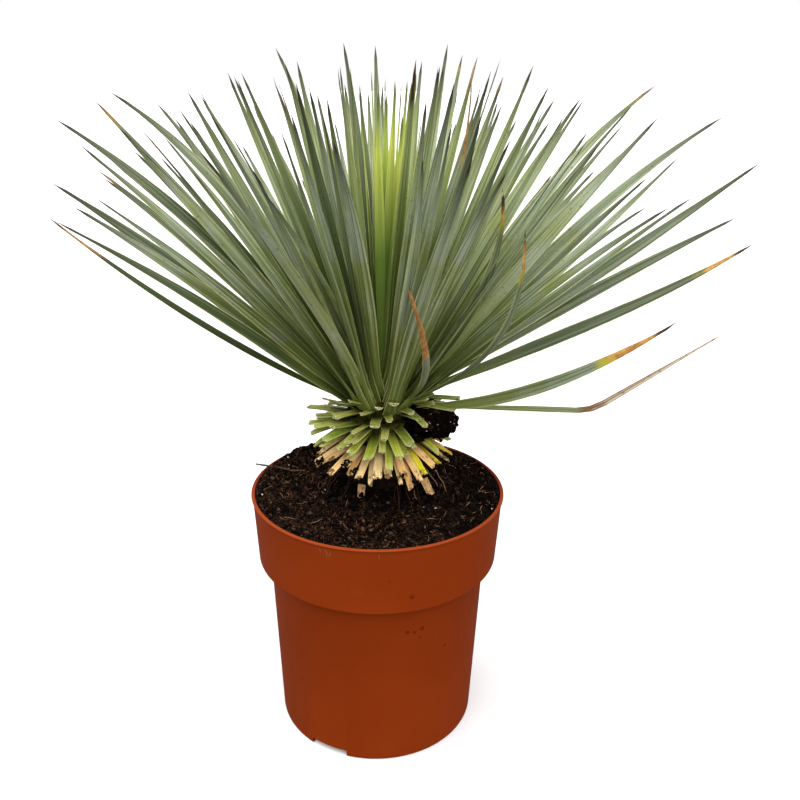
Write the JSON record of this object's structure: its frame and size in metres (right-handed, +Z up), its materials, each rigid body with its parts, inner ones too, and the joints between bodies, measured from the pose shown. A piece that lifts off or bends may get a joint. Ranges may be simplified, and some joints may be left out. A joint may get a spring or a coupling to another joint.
{
  "type": "potted yucca",
  "caption": "Beaked yucca with a round crown of stiff narrow leaves on a short trunk of cut leaf stubs, in a round plastic nursery pot with a wide collar and peat soil.",
  "frame": {"origin": "middle of the pot's flat bottom, on the surface that the pot stands on", "axes": "+Z up along the pot's axis; the side that the picture shows faces -Y, with +X to its right"},
  "size_m": [0.6455, 0.4912, 0.6375],
  "materials": {
    "pot": "semi-matt moulded plastic, terracotta-coloured",
    "soil": "damp peat with fibres",
    "dry_stub": "dry fibrous leaf base",
    "green_stub": "fresh leaf base with pale cut ends",
    "leaf": "waxy blue-green leaf with thin yellow edges",
    "young_leaf": "pale yellow-green young leaf",
    "clod": "loose peat",
    "twig": "dry bark"
  },
  "bodies": {
    "root": {"pot": "pot", "soil": "soil", "trunk": "dry_stub", "green_stubs": "green_stub", "crown_leaves": "leaf", "young_leaves": "young_leaf", "peat_clod": "clod", "twig": "twig"}
  },
  "joints": []
}
